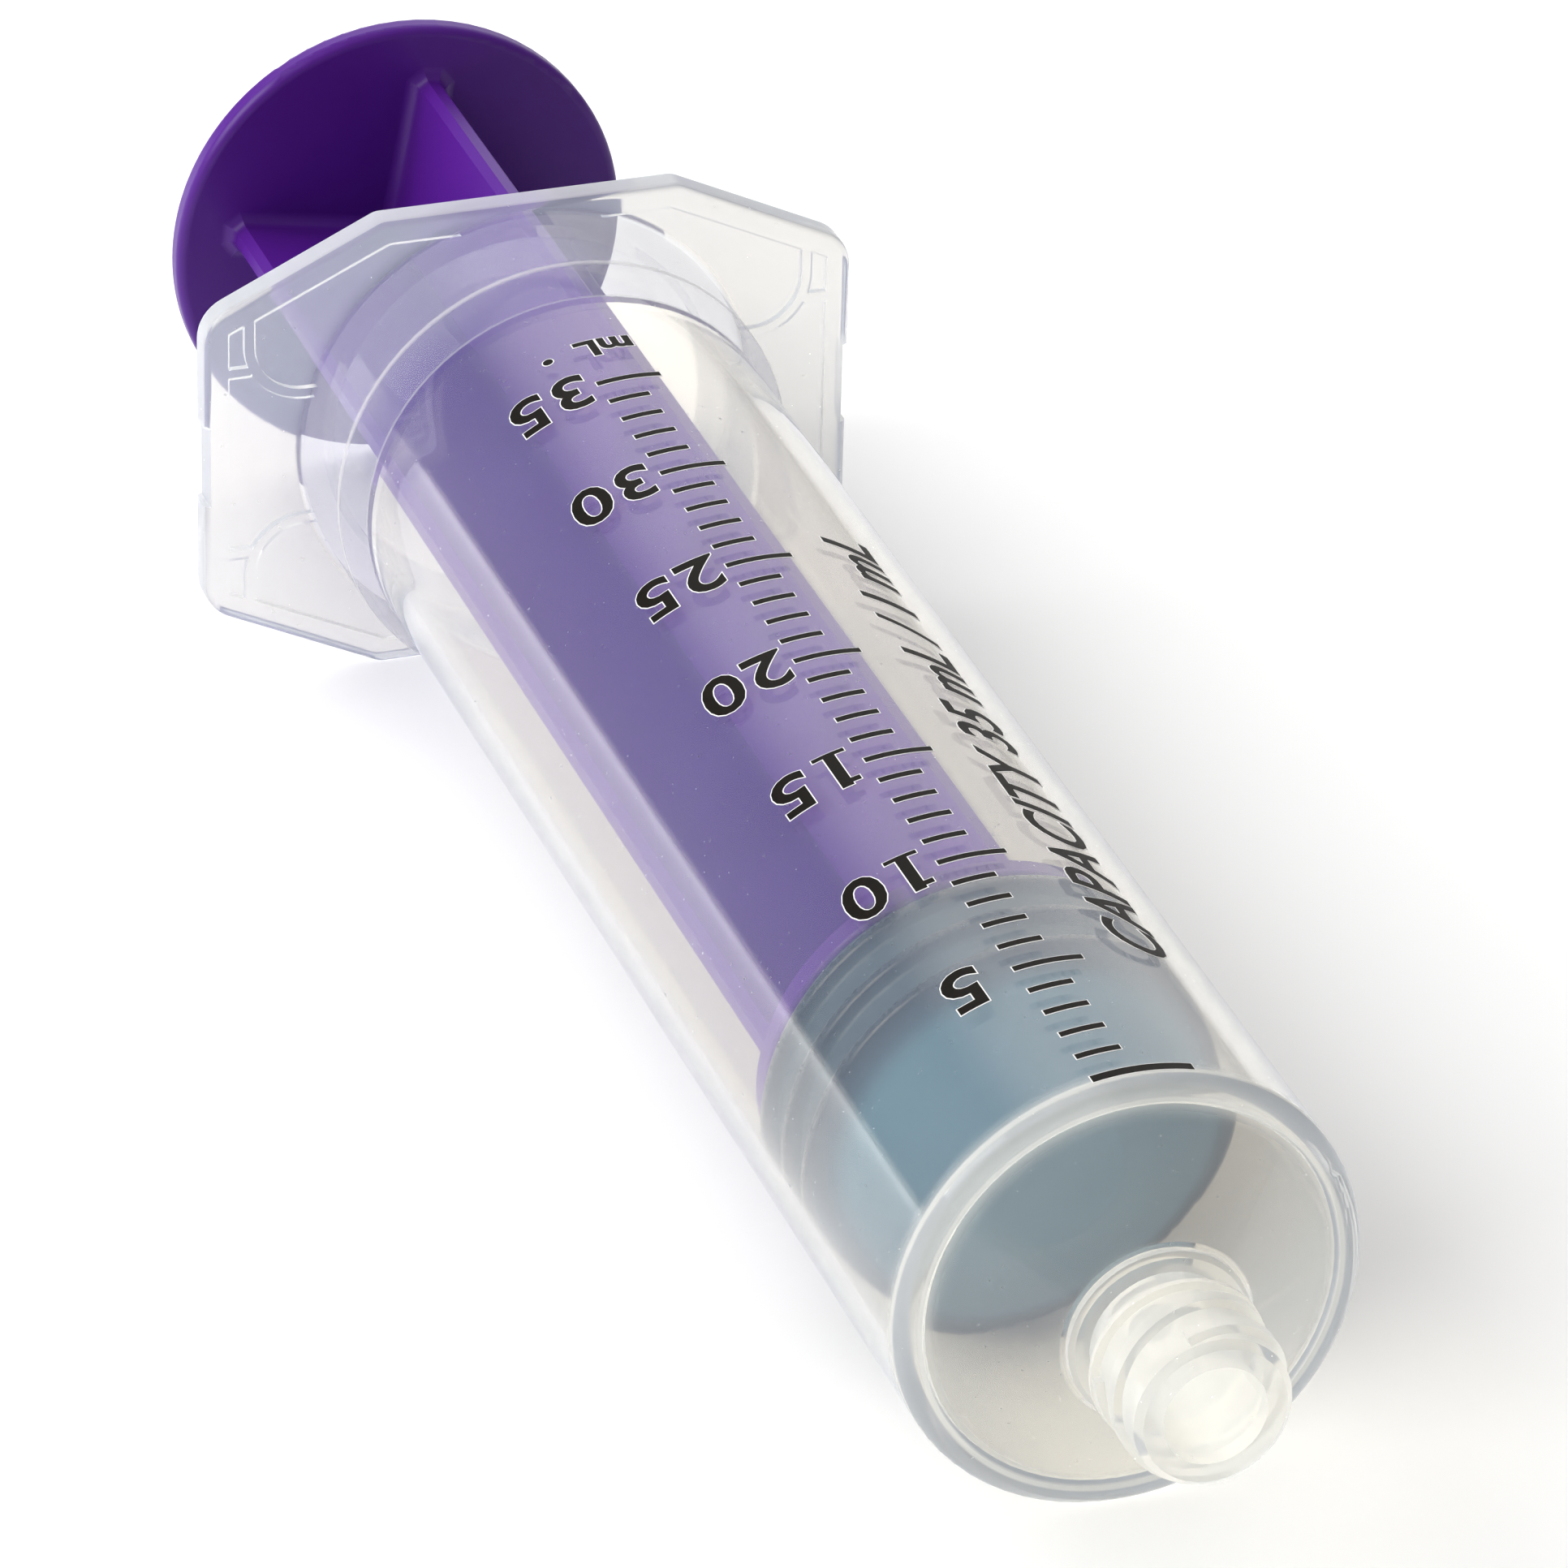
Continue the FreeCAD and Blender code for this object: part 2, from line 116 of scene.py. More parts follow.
# The floor, and the studio's lights with their places and their widths and heights, in metres.
FLOOR_SIZE = 6.0
STAGE_CENTRE = (-0.06, 0, 0)
KEY_PLACE, KEY_SIZE = (-0.08, -0.82, 0.64), (0.8, 0.6)
TOP_PLACE, TOP_SIZE = (-0.10, 0.10, 0.95), (0.8, 0.8)
FAR_PLACE, FAR_SIZE = (-0.75, -0.50, 0.35), (1.1, 0.8)
FAR_AIM = (-0.75, -0.50, 0)

# The room's dark and bright sides: the way to them, and the cosines where they start and are full.
DARK_SIDE = ((-0.80, -0.50, 0.33), 0.55, 0.85)
BRIGHT_SIDE = ((-0.76, 0.36, 0.54), 0.72, 0.95)
BRIGHT_SIDE_GAIN = 4.5
PALE_WALL = (1.0, 0.99, 0.97, 1.0)
DARK_WALL = (0.22, 0.23, 0.26, 1.0)
BRIGHT_WALL = (1.0, 0.99, 0.98, 1.0)

# Colours that belong to one finish.
STRAIGHT_LIGHT = (0.97, 0.965, 0.95, 1.0)
SHADOW_LIGHT = (0.93, 0.93, 0.925, 1.0)
BLUISH_HAZE = (0.57, 0.71, 1.0, 1.0)
WHITISH_HAZE = (0.87, 0.865, 0.83, 1.0)
# Painted shade for the stopper's rib zone, in its valleys and on its crests.
RIB_VALLEY_PAINTED_SHADE = (0.026, 0.050, 0.066, 1.0)
RIB_CREST_PAINTED_SHADE = (0.012, 0.022, 0.030, 1.0)
# Painted pale halo around the ink, dull and bright.
PAINTED_HALO_DULL = (0.80, 0.79, 0.77, 1.0)
PAINTED_HALO_BRIGHT = (0.90, 0.89, 0.87, 1.0)


# ------------------------------------------------------------------ settings

class SYRINGE_PG_stopper(bpy.types.PropertyGroup):
    """Sizes of the soft stopper."""

    rib_radius: bpy.props.FloatProperty(
        name="Rib radius", description="Radius over the sealing ribs",
        default=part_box("stopper")[1].z, unit="LENGTH")
    relief: bpy.props.FloatProperty(
        name="Relief", description="Depth of the grooves between the ribs",
        default=0.6 * MM, unit="LENGTH")
    rib_pitch: bpy.props.FloatProperty(
        name="Rib pitch", description="Distance from one rib to the next",
        default=3.25 * MM, unit="LENGTH")
    tail: bpy.props.FloatProperty(
        name="Tail", description="Length behind the rearmost rib",
        default=1.3 * MM, unit="LENGTH")
    nose_radius: bpy.props.FloatProperty(
        name="Nose radius", description="Radius of the flat at the front",
        default=4.0 * MM, unit="LENGTH")


class SYRINGE_PG_scale(bpy.types.PropertyGroup):
    """Places and sizes of the printed scale."""

    step: bpy.props.FloatProperty(
        name="Step", description="Travel of the plunger for one millilitre",
        default=2.3016 * MM, unit="LENGTH")
    zero: bpy.props.FloatProperty(
        name="Zero line", description="Distance of the zero line behind the front rim",
        default=1.25 * MM, unit="LENGTH")
    capacity: bpy.props.IntProperty(
        name="Capacity", description="Last line of the scale in millilitres", default=35)
    start: bpy.props.FloatProperty(
        name="Line start", description="Angle around the barrel at which every line starts",
        default=math.radians(100.4), subtype="ANGLE")
    short: bpy.props.FloatProperty(
        name="Short line", description="Angle that a line of one millilitre spans",
        default=math.radians(10.8), subtype="ANGLE")
    long: bpy.props.FloatProperty(
        name="Long line", description="Angle that a line of five millilitres spans",
        default=math.radians(17.1), subtype="ANGLE")
    longest: bpy.props.FloatProperty(
        name="Zero line span", description="Angle that the zero line spans",
        default=math.radians(24.8), subtype="ANGLE")
    thickness: bpy.props.FloatProperty(
        name="Line thickness", description="Thickness of a printed line",
        default=0.45 * MM, unit="LENGTH")
    digit_height: bpy.props.FloatProperty(
        name="Digit height", description="Height of the numerals",
        default=3.6 * MM, unit="LENGTH")


class SYRINGE_PG_colours(bpy.types.PropertyGroup):
    """Colours of the plastics, the rubber and the ink."""

    clear: bpy.props.FloatVectorProperty(
        name="Clear plastic", description="Tint of the clear polypropylene",
        default=(1.0, 0.925, 0.790), size=3, subtype="COLOR", min=0, max=1)
    purple: bpy.props.FloatVectorProperty(
        name="Purple plastic", description="Colour of the plunger rod",
        default=(0.074, 0.0085, 0.215), size=3, subtype="COLOR", min=0, max=1)
    rubber: bpy.props.FloatVectorProperty(
        name="Stopper rubber", description="Colour of the soft stopper",
        default=(0.100, 0.225, 0.310), size=3, subtype="COLOR", min=0, max=1)
    ink: bpy.props.FloatVectorProperty(
        name="Ink", description="Colour of the printed scale",
        default=(0.005, 0.004, 0.003), size=3, subtype="COLOR", min=0, max=1)
    floor: bpy.props.FloatVectorProperty(
        name="Floor", description="Colour of the studio floor",
        default=(0.92, 0.92, 0.92), size=3, subtype="COLOR", min=0, max=1)


class SYRINGE_PG_studio(bpy.types.PropertyGroup):
    """Place of the camera and strength of the lights."""

    camera_place: bpy.props.FloatVectorProperty(
        name="Camera place", description="Where the camera stands",
        default=(0.388249, -0.164386, 0.272796), size=3, subtype="TRANSLATION")
    camera_turn: bpy.props.FloatVectorProperty(
        name="Camera turn", description="How the camera is turned about X, Y and Z",
        default=tuple(math.radians(a) for a in (60.6141, -1.4067, 70.9206)), size=3, subtype="EULER")
    focal_length: bpy.props.FloatProperty(
        name="Focal length", description="Lens of the camera in millimetres", default=228.36)
    key_power: bpy.props.FloatProperty(
        name="Key light", description="Power of the large softbox on the left in watts",
        default=7.8, subtype="POWER")
    fill_power: bpy.props.FloatProperty(
        name="Fill light", description="Power of the softbox overhead in watts",
        default=1.3, subtype="POWER")
    far_power: bpy.props.FloatProperty(
        name="Far floor light", description="Power of the light over the far floor in watts",
        default=9.8, subtype="POWER")
    room: bpy.props.FloatProperty(
        name="Room light", description="Strength of the light from the room", default=0.30)


# ------------------------------------------------------------------ materials

class Value:
    """An output socket in a node tree, with operators that add Math nodes."""

    def __init__(self, tree, socket):
        self.tree = tree
        self.socket = socket

    def _math(self, operation, first, second):
        return self.tree.add("ShaderNodeMath", {"operation": operation}, {0: first, 1: second})

    def __add__(self, other):
        return self._math("ADD", self, other)

    __radd__ = __add__

    def __sub__(self, other):
        return self._math("SUBTRACT", self, other)

    def __rsub__(self, other):
        return self._math("SUBTRACT", other, self)

    def __mul__(self, other):
        return self._math("MULTIPLY", self, other)

    __rmul__ = __mul__

    def __pow__(self, other):
        return self._math("POWER", self, other)


class Finish:
    """The node tree of a material or of the studio's room."""

    def __init__(self, owner):
        self.owner = owner
        owner.use_nodes = True
        self.nodes = owner.node_tree.nodes
        self.links = owner.node_tree.links
        self.nodes.clear()

    def add(self, kind, settings=None, inputs=None, output=0):
        """Adds a node: its settings first, then the values or links of its sockets."""
        node = self.nodes.new(kind)
        for name, value in (settings or {}).items():
            setattr(node, name, value)
        for name, value in (inputs or {}).items():
            if isinstance(value, Value):
                self.links.new(value.socket, node.inputs[name])
            else:
                node.inputs[name].default_value = value
        return Value(self, node.outputs[output])

    def place(self):
        """Object coordinates."""
        return self.add("ShaderNodeTexCoord", output="Object")

    def noise(self, vector, scale, detail=2.0, roughness=0.5):
        """A noise between 0 and 1."""
        return self.add("ShaderNodeTexNoise", inputs={
            "Vector": vector, "Scale": scale, "Detail": detail, "Roughness": roughness})

    def ramp(self, value, low, high):
        """A smooth step from 0 at low to 1 at high."""
        return self.add("ShaderNodeMapRange", {"interpolation_type": "SMOOTHSTEP"}, {
            "Value": value, "From Min": low, "From Max": high, "To Min": 0.0, "To Max": 1.0})

    def band(self, value, middle, inner, outer):
        """A soft band: 1 within inner of the middle, 0 beyond outer."""
        rising = self.ramp(value, middle - outer, middle - inner)
        return rising * self.ramp(value, middle + outer, middle + inner)

    def along_and_radius(self, place):
        """Distance along the barrel's axis, and distance from it."""
        x, y, z = (
            self.add("ShaderNodeSeparateXYZ", inputs={0: place}, output=axis) for axis in "XYZ")
        return x, (y * y + z * z) ** 0.5

    def mix(self, factor, first, second):
        """A mix of two colours: sockets 0, 6 and 7 are the factor and the colours, output 2 the result."""
        return self.add(
            "ShaderNodeMix", {"data_type": "RGBA"}, {0: factor, 6: first, 7: second}, output=2)

    def blend(self, factor, first, second):
        """A mix of two shaders."""
        return self.add("ShaderNodeMixShader", inputs={0: factor, 1: first, 2: second})

    def straight_through(self, colour):
        """Light that passes straight through."""
        return self.add("ShaderNodeBsdfTransparent", inputs={"Color": colour})

    def bump(self, height, distance, strength=1.0):
        """A normal from a height."""
        return self.add("ShaderNodeBump", inputs={
            "Height": height, "Distance": distance, "Strength": strength})

    def finish(self, surface, kind="ShaderNodeOutputMaterial"):
        """Joins the surface to an output and returns the tree's owner."""
        node = self.nodes.new(kind)
        self.links.new(surface.socket, node.inputs["Surface"])
        return self.owner


def rgba(colour, scale=1.0):
    """A colour with alpha, made lighter or darker."""
    return tuple(min(1.0, channel * scale) for channel in colour[:3]) + (1.0,)


def part_masks(tree, place):
    """Masks of the clear plastic's parts, which differ in how hazy they look, and of its painted
    highlights.
    """
    along, radius = tree.along_and_radius(place)
    collar = tree.ramp(along, COLLAR_FOOT - 0.2 * MM, COLLAR_CREST + 0.2 * MM)
    flange = collar * tree.ramp(radius, COLLAR_RADIUS - 0.3 * MM, COLLAR_RADIUS + 0.7 * MM)
    rim = tree.ramp(along, RIM - 2.2 * MM, RIM - 0.6 * MM)
    rim = rim * tree.ramp(radius, RIM_MOUTH_RADIUS - 1.2 * MM, RIM_MOUTH_RADIUS)
    tip = tree.ramp(along, RIM + 2.2 * MM, RIM + 4.4 * MM)
    tip = tip * tree.ramp(radius, TIP_RING_RADIUS + 0.6 * MM, TIP_RING_RADIUS - 0.1 * MM)
    front = tree.ramp(along, RIM - 1.8 * MM, RIM - 0.8 * MM)
    # Painted highlight: faces of the flange that turn sideways, its side and pocket walls, get extra
    # whitish haze, standing in for the bright lines that refraction and reflection make at its steps.
    facing = tree.add("ShaderNodeSeparateXYZ", inputs={
        0: tree.add("ShaderNodeTexCoord", output="Normal")}, output="X")
    walls = flange * tree.ramp(facing * facing, 0.3, 0.1)
    clear = tree.ramp(along, COLLAR_FOOT + 0.1 * MM, COLLAR_FOOT - 0.05 * MM)
    clear = clear * tree.ramp(radius, COLLAR_RADIUS + 0.3 * MM, COLLAR_RADIUS + 0.1 * MM)
    # The walls and edges masks are painted highlights, not thickness.
    return {
        "collar": collar, "flange": flange, "rim": rim, "tip": tip, "front": front,
        "walls": walls, "clear": clear, "edges": pale_edges(tree, along, radius),
    }


def pale_edges(tree, along, radius):
    """Painted highlights: thin pale lines along the edges of the collar's slope and of the front rim."""
    crest = tree.band(along, COLLAR_CREST - 0.075 * MM, 0.075 * MM, 0.275 * MM)
    foot = tree.band(along, COLLAR_FOOT, 0.05 * MM, 0.15 * MM)
    rim_foot = tree.band(along, RIM_FOOT, 0.1 * MM, 0.3 * MM)
    rim_mouth = tree.band(radius, RIM_MOUTH_RADIUS, 0.1 * MM, 0.25 * MM)
    rim_face = tree.ramp(along, RIM - 0.4 * MM, RIM - 0.15 * MM)
    outside = tree.ramp(radius, BARREL_RADIUS - 0.45 * MM, BARREL_RADIUS - 0.25 * MM)
    return (0.45 * crest + 0.25 * foot + 0.4 * rim_foot) * outside + 0.4 * rim_mouth * rim_face


def haze_layer(tree, colour):
    """Light scattered in milky plastic, half of it back and half of it through."""
    back = tree.add("ShaderNodeBsdfDiffuse", inputs={"Color": colour})
    through = tree.add("ShaderNodeBsdfTranslucent", inputs={"Color": colour})
    return tree.blend(0.5, back, through)


def clear_plastic(colours):
    """Clear polypropylene: bluish haze, whiter where it is thicker, with painted highlights as whitish
    haze along the collar's and rim's edges and on the flange's side walls, and with faint flow marks and
    specks.
    """
    tree = Finish(bpy.data.materials.new("clear_polypropylene_finish"))
    place = tree.place()
    cloud = tree.noise(place, 90.0, 3.0)
    stretched = tree.add("ShaderNodeMapping", inputs={"Vector": place, "Scale": (12.0, 900.0, 900.0)})
    streaks = tree.noise(stretched, 1.0, 2.0)
    specks = tree.ramp(tree.noise(place, 2600.0, 1.0), 0.72, 0.80)
    shell = tree.add("ShaderNodeBsdfPrincipled", inputs={
        "Base Color": tree.mix(cloud, rgba(colours.clear, 0.985), rgba(colours.clear, 1.02)),
        "Roughness": 0.03 + 0.03 * cloud + 0.25 * specks,
        "Normal": tree.bump(0.5 * cloud + 0.05 * streaks, 0.03 * MM, 0.15),
        "Transmission Weight": 1.0, "IOR": 1.47})
    part = part_masks(tree, place)
    uneven = 0.8 + 0.4 * cloud
    thin = 0.095 + 0.08 * part["flange"]
    # Whiter haze where the plastic is thicker, plus painted highlights on the edges and on the flange's
    # walls.
    thick_haze_and_painted_highlights = (
        0.085 * part["collar"] + 0.08 * part["flange"] + 0.055 * part["front"]
        + 0.40 * part["rim"] + 0.36 * part["tip"] + 0.32 * part["walls"] + part["edges"])
    lens = tree.blend(0.85 * part["clear"], shell, tree.straight_through(STRAIGHT_LIGHT))
    hazy = tree.blend(thin * uneven, lens, haze_layer(tree, BLUISH_HAZE))
    body = tree.blend(thick_haze_and_painted_highlights * uneven, hazy, haze_layer(tree, WHITISH_HAZE))
    shadow = tree.add("ShaderNodeLightPath", output="Is Shadow Ray")
    return tree.finish(tree.blend(shadow, body, tree.straight_through(SHADOW_LIGHT)))


def purple_plastic(colours):
    """Moulded purple plastic: satin, with fine grain and slightly uneven colour."""
    tree = Finish(bpy.data.materials.new("purple_plastic_finish"))
    place = tree.place()
    cloud = tree.noise(place, 130.0, 3.0)
    grain = tree.noise(place, 5200.0, 2.0)
    tint = tree.mix(cloud, rgba(colours.purple, 0.9), rgba(colours.purple, 1.1))
    roughness = 0.30 + 0.10 * cloud + 0.06 * grain
    normal = tree.bump(0.9 * cloud + 0.1 * grain, 0.01 * MM, 0.12)
    surface = tree.add("ShaderNodeBsdfPrincipled", inputs={
        "Base Color": tint, "Roughness": roughness, "Normal": normal,
        "IOR": 1.46, "Specular IOR Level": 0.35})
    return tree.finish(surface)


def stopper_rubber(colours, rib_radius, front_rib):
    """Soft blue-grey elastomer: satin skin, fine pores, and painted shade over its rib zone, darkest on
    the crests that touch the barrel.
    """
    tree = Finish(bpy.data.materials.new("stopper_elastomer_finish"))
    place = tree.place()
    cloud = tree.noise(place, 160.0, 3.0)
    pores = tree.noise(place, 4200.0, 2.0, 0.7)
    skin = tree.mix(cloud, rgba(colours.rubber, 0.92), rgba(colours.rubber, 1.1))
    along, radius = tree.along_and_radius(place)
    # Painted shade: from the tail to just past the front rib the rubber is darkened, most on the rib
    # crests where they touch the barrel.
    rib_crests = tree.ramp(radius, rib_radius - 0.55 * MM, rib_radius - 0.1 * MM)
    rib_zone = tree.ramp(along, front_rib + 1.6 * MM, front_rib + 0.7 * MM)
    film = tree.mix(rib_crests, RIB_VALLEY_PAINTED_SHADE, RIB_CREST_PAINTED_SHADE)
    tint = tree.mix(rib_zone, skin, film)
    roughness = 0.42 + 0.12 * pores - 0.2 * rib_crests
    normal = tree.bump(pores, 0.004 * MM, 0.1)
    surface = tree.add("ShaderNodeBsdfPrincipled", inputs={
        "Base Color": tint, "Roughness": roughness, "Normal": normal,
        "IOR": 1.5, "Sheen Weight": 0.1})
    return tree.finish(surface)


def printing_ink(colours):
    """Near-black ink with a slightly worn, uneven film."""
    tree = Finish(bpy.data.materials.new("printing_ink_finish"))
    place = tree.place()
    film = tree.noise(place, 1800.0, 3.0)
    tint = tree.mix(film, rgba(colours.ink, 0.8), rgba(colours.ink, 2.2))
    roughness = 0.35 + 0.2 * film
    normal = tree.bump(film, 0.01 * MM, 0.4)
    surface = tree.add("ShaderNodeBsdfPrincipled", inputs={
        "Base Color": tint, "Roughness": roughness, "Normal": normal,
        "Specular IOR Level": 0.08})
    return tree.finish(surface)


def ink_edge():
    """A painted highlight: the pale, glossy halo around the raised ink, standing in for the light rim seen
    around the print.
    """
    tree = Finish(bpy.data.materials.new("ink_edge_finish"))
    place = tree.place()
    film = tree.noise(place, 1500.0, 2.0)
    tint = tree.mix(film, PAINTED_HALO_DULL, PAINTED_HALO_BRIGHT)
    roughness = 0.2 + 0.2 * film
    surface = tree.add("ShaderNodeBsdfPrincipled", inputs={
        "Base Color": tint, "Roughness": roughness})
    return tree.finish(surface)


def floor_paint(colours):
    """Plain pale floor with a barely visible tooth."""
    tree = Finish(bpy.data.materials.new("studio_floor_finish"))
    place = tree.place()
    tooth = tree.noise(place, 900.0, 2.0)
    tint = tree.mix(tooth, rgba(colours.floor, 0.995), rgba(colours.floor, 1.0))
    surface = tree.add("ShaderNodeBsdfPrincipled", inputs={
        "Base Color": tint, "Roughness": 0.9, "Specular IOR Level": 0.1})
    return tree.finish(surface)


# ------------------------------------------------------------------ modelling helpers

def start_piece(name):
    """Takes the primitive that was just added as a new piece and gives it its name."""
    piece = bpy.context.object
    piece.name = name
    piece.data.name = name
    return piece


def clear_selection():
    """Leaves edit mode and deselects everything."""
    if bpy.context.object and bpy.context.object.mode != "OBJECT":
        bpy.ops.object.mode_set(mode="OBJECT")
    bpy.ops.object.select_all(action="DESELECT")


def settle(piece):
    """Puts the piece's place into its mesh."""
    clear_selection()
    bpy.context.view_layer.objects.active = piece
    piece.select_set(True)
    bpy.ops.object.transform_apply(location=True, rotation=True, scale=True)


def apply_modifier(piece, kind, **settings):
    """Adds a modifier and applies it."""
    modifier = piece.modifiers.new(kind.title(), kind)
    for name, value in settings.items():
        setattr(modifier, name, value)
    bpy.context.view_layer.objects.active = piece
    bpy.ops.object.modifier_apply(modifier=modifier.name)


def merge_and_face_out(piece):
    """Merges doubles and turns every face outwards."""
    clear_selection()
    bpy.context.view_layer.objects.active = piece
    piece.select_set(True)
    bpy.ops.object.mode_set(mode="EDIT")
    bpy.ops.mesh.select_all(action="SELECT")
    bpy.ops.mesh.remove_doubles(threshold=MERGE_DISTANCE)
    bpy.ops.mesh.normals_make_consistent(inside=False)
    bpy.ops.object.mode_set(mode="OBJECT")


def join(pieces, name):
    """Joins pieces into one mesh."""
    clear_selection()
    for piece in pieces:
        piece.select_set(True)
    bpy.context.view_layer.objects.active = pieces[0]
    if len(pieces) > 1:
        bpy.ops.object.join()
    joined = bpy.context.view_layer.objects.active
    joined.name = name
    joined.data.name = name
    return joined


def dress(piece, material, body):
    """Gives a piece its finish and its body."""
    piece.data.materials.clear()
    piece.data.materials.append(material)
    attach(piece, body)


# ------------------------------------------------------------------ pieces

class SYRINGE_OT_barrel(bpy.types.Operator):
    """Give the barrel its clear polypropylene"""

    bl_idname = "syringe.barrel"
    bl_label = "Clear barrel"

    def execute(self, context):
        barrel = frame["nodes"]["barrel"]
        barrel.material_slots[0].material = clear_plastic(context.scene.syringe_colours)
        return {"FINISHED"}


class SYRINGE_OT_rod(bpy.types.Operator):
    """Give the plunger rod its purple plastic"""

    bl_idname = "syringe.rod"
    bl_label = "Plunger rod"

    def execute(self, context):
        rod = frame["nodes"]["plunger_rod"]
        rod.material_slots[0].material = purple_plastic(context.scene.syringe_colours)
        return {"FINISHED"}


def lathe(name, stations, segments=128):
    """Turns a closed form about the X axis: a disc is extruded and resized from station to station."""
    clear_selection()
    first_x, first_radius = stations[0]
    bpy.ops.mesh.primitive_circle_add(
        vertices=segments, radius=first_radius, fill_type="NGON",
        location=(first_x, 0, 0), rotation=(0, math.pi / 2, 0))
    piece = start_piece(name)
    settle(piece)
    bpy.ops.object.mode_set(mode="EDIT")
    bpy.ops.mesh.select_mode(type="FACE")
    bpy.ops.mesh.select_all(action="SELECT")
    x, radius = first_x, first_radius
    for next_x, next_radius in stations[1:]:
        bpy.ops.mesh.extrude_region_move(TRANSFORM_OT_translate={"value": (next_x - x, 0, 0)})
        if next_radius != radius:
            share = next_radius / radius
            bpy.ops.transform.resize(value=(1, share, share), center_override=(next_x, 0, 0))
        x, radius = next_x, next_radius
    bpy.ops.object.mode_set(mode="OBJECT")
    merge_and_face_out(piece)
    return piece


class SYRINGE_OT_stopper(bpy.types.Operator):
    """Build the soft stopper with its rounded sealing ribs"""

    bl_idname = "syringe.stopper"
    bl_label = "Ribbed stopper"

    def execute(self, context):
        sizes = context.scene.syringe_stopper
        low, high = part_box("stopper")
        tail, nose = low.x, high.x
        rib = sizes.rib_radius
        valley = rib - sizes.relief
        rear_rib = tail + sizes.tail
        neck, room, room_end = 3.9 * MM, 5.5 * MM, 3.7 * MM
        room_start, room_taper, socket_depth = 1.7 * MM, 3.1 * MM, 4.7 * MM
        # Two stations never share one place on the axis: a flat step is this long.
        step = 0.001 * MM
        stations = [
            (tail + socket_depth, room_end),
            (tail + room_taper, room),
            (tail + room_start, room),
            (tail + room_start + step, neck),
            (tail, neck),
            (tail + step, valley),
        ]
        crest, flank = 0.3 * MM, 0.75 * MM
        for index in range(RIBS):
            middle = rear_rib + index * sizes.rib_pitch
            stations += [
                (middle - flank, valley), (middle - crest, rib),
                (middle + crest, rib), (middle + flank, valley),
            ]
        stations.append((nose, sizes.nose_radius))
        rounding = 0.16 * MM
        piece = lathe("ribbed_stopper", stations)
        apply_modifier(
            piece, "BEVEL", width=rounding, segments=3,
            limit_method="ANGLE", angle_limit=math.radians(15))
        clear_selection()
        piece.select_set(True)
        bpy.context.view_layer.objects.active = piece
        bpy.ops.object.shade_smooth_by_angle(angle=math.radians(35))
        front_rib = rear_rib + (RIBS - 1) * sizes.rib_pitch
        rubber = stopper_rubber(context.scene.syringe_colours, rib, front_rib)
        dress(piece, rubber, "stopper")
        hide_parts("stopper")
        return {"FINISHED"}


def printed_line(name, x, start, span, thickness, height, grow=0.0):
    """One line of the scale: a small upright strip swept around the barrel's skin."""
    clear_selection()
    tall = height + BURY
    bpy.ops.mesh.primitive_plane_add(
        size=1, location=(0, 0, BARREL_RADIUS - BURY + tall / 2), rotation=(math.pi / 2, 0, 0))
    piece = start_piece(name)
    piece.scale = (thickness + 2 * grow, tall, 1)
    settle(piece)
    extra = grow / BARREL_RADIUS
    piece.rotation_euler = (start + extra - math.pi / 2, 0, 0)
    piece.location = (x, 0, 0)
    settle(piece)
    bpy.ops.object.mode_set(mode="EDIT")
    bpy.ops.mesh.select_all(action="SELECT")
    steps = max(3, round(math.degrees(span) / FACET_DEGREES))
    bpy.ops.mesh.spin(
        steps=steps, angle=span + 2 * extra, center=(x, 0, 0), axis=(1, 0, 0))
    bpy.ops.object.mode_set(mode="OBJECT")
    merge_and_face_out(piece)
    return piece


def line_and_edge(x, start, span, thickness):
    """A line of ink and the painted pale halo around it."""
    line = printed_line("line", x, start, span, thickness, LINE_HEIGHT)
    edge = printed_line("edge", x, start, span, thickness, LINE_EDGE_HEIGHT, LINE_EDGE)
    return line, edge


def copy_along(piece, distance):
    """A copy of a piece with its own mesh, moved along the barrel."""
    clear_selection()
    piece.select_set(True)
    bpy.context.view_layer.objects.active = piece
    bpy.ops.object.duplicate_move(TRANSFORM_OT_translate={"value": (distance, 0, 0)})
    twin = bpy.context.object
    settle(twin)
    return twin


def dress_print(context, prints, edges, name, edges_name):
    """Joins the prints and their painted pale halos, and gives both their finishes."""
    dress(join(prints, name), printing_ink(context.scene.syringe_colours), "barrel")
    dress(join(edges, edges_name), ink_edge(), "barrel")


class SYRINGE_OT_lines(bpy.types.Operator):
    """Print the scale's lines on the barrel"""

    bl_idname = "syringe.lines"
    bl_label = "Scale lines"

    def execute(self, context):
        sizes = context.scene.syringe_scale
        zero_x = RIM - sizes.zero
        heavy = ZERO_LINE_WEIGHT * sizes.thickness
        models = {
            "zero": line_and_edge(zero_x, sizes.start, sizes.longest, heavy),
            "five": line_and_edge(zero_x, sizes.start, sizes.long, sizes.thickness),
            "one": line_and_edge(zero_x, sizes.start, sizes.short, sizes.thickness),
        }
        lines, edges = [], []
        for count in range(1, sizes.capacity + 1):
            line, edge = models["five" if count % MAJOR_STEP == 0 else "one"]
            lines.append(copy_along(line, -count * sizes.step))
            edges.append(copy_along(edge, -count * sizes.step))
        lines.append(models["zero"][0])
        edges.append(models["zero"][1])
        for kind in ("five", "one"):
            for model in models[kind]:
                bpy.data.objects.remove(model)
        dress_print(context, lines, edges, "scale_lines", "scale_line_edges")
        return {"FINISHED"}


def wrap(piece, bottom_radius):
    """Wraps a flat print around the barrel: X becomes the angle, Y the station and Z the height."""
    for vertex in piece.data.vertices:
        across, along, height = vertex.co
        angle = across / BARREL_RADIUS
        radius = bottom_radius + height
        vertex.co = (along, radius * math.cos(angle), radius * math.sin(angle))


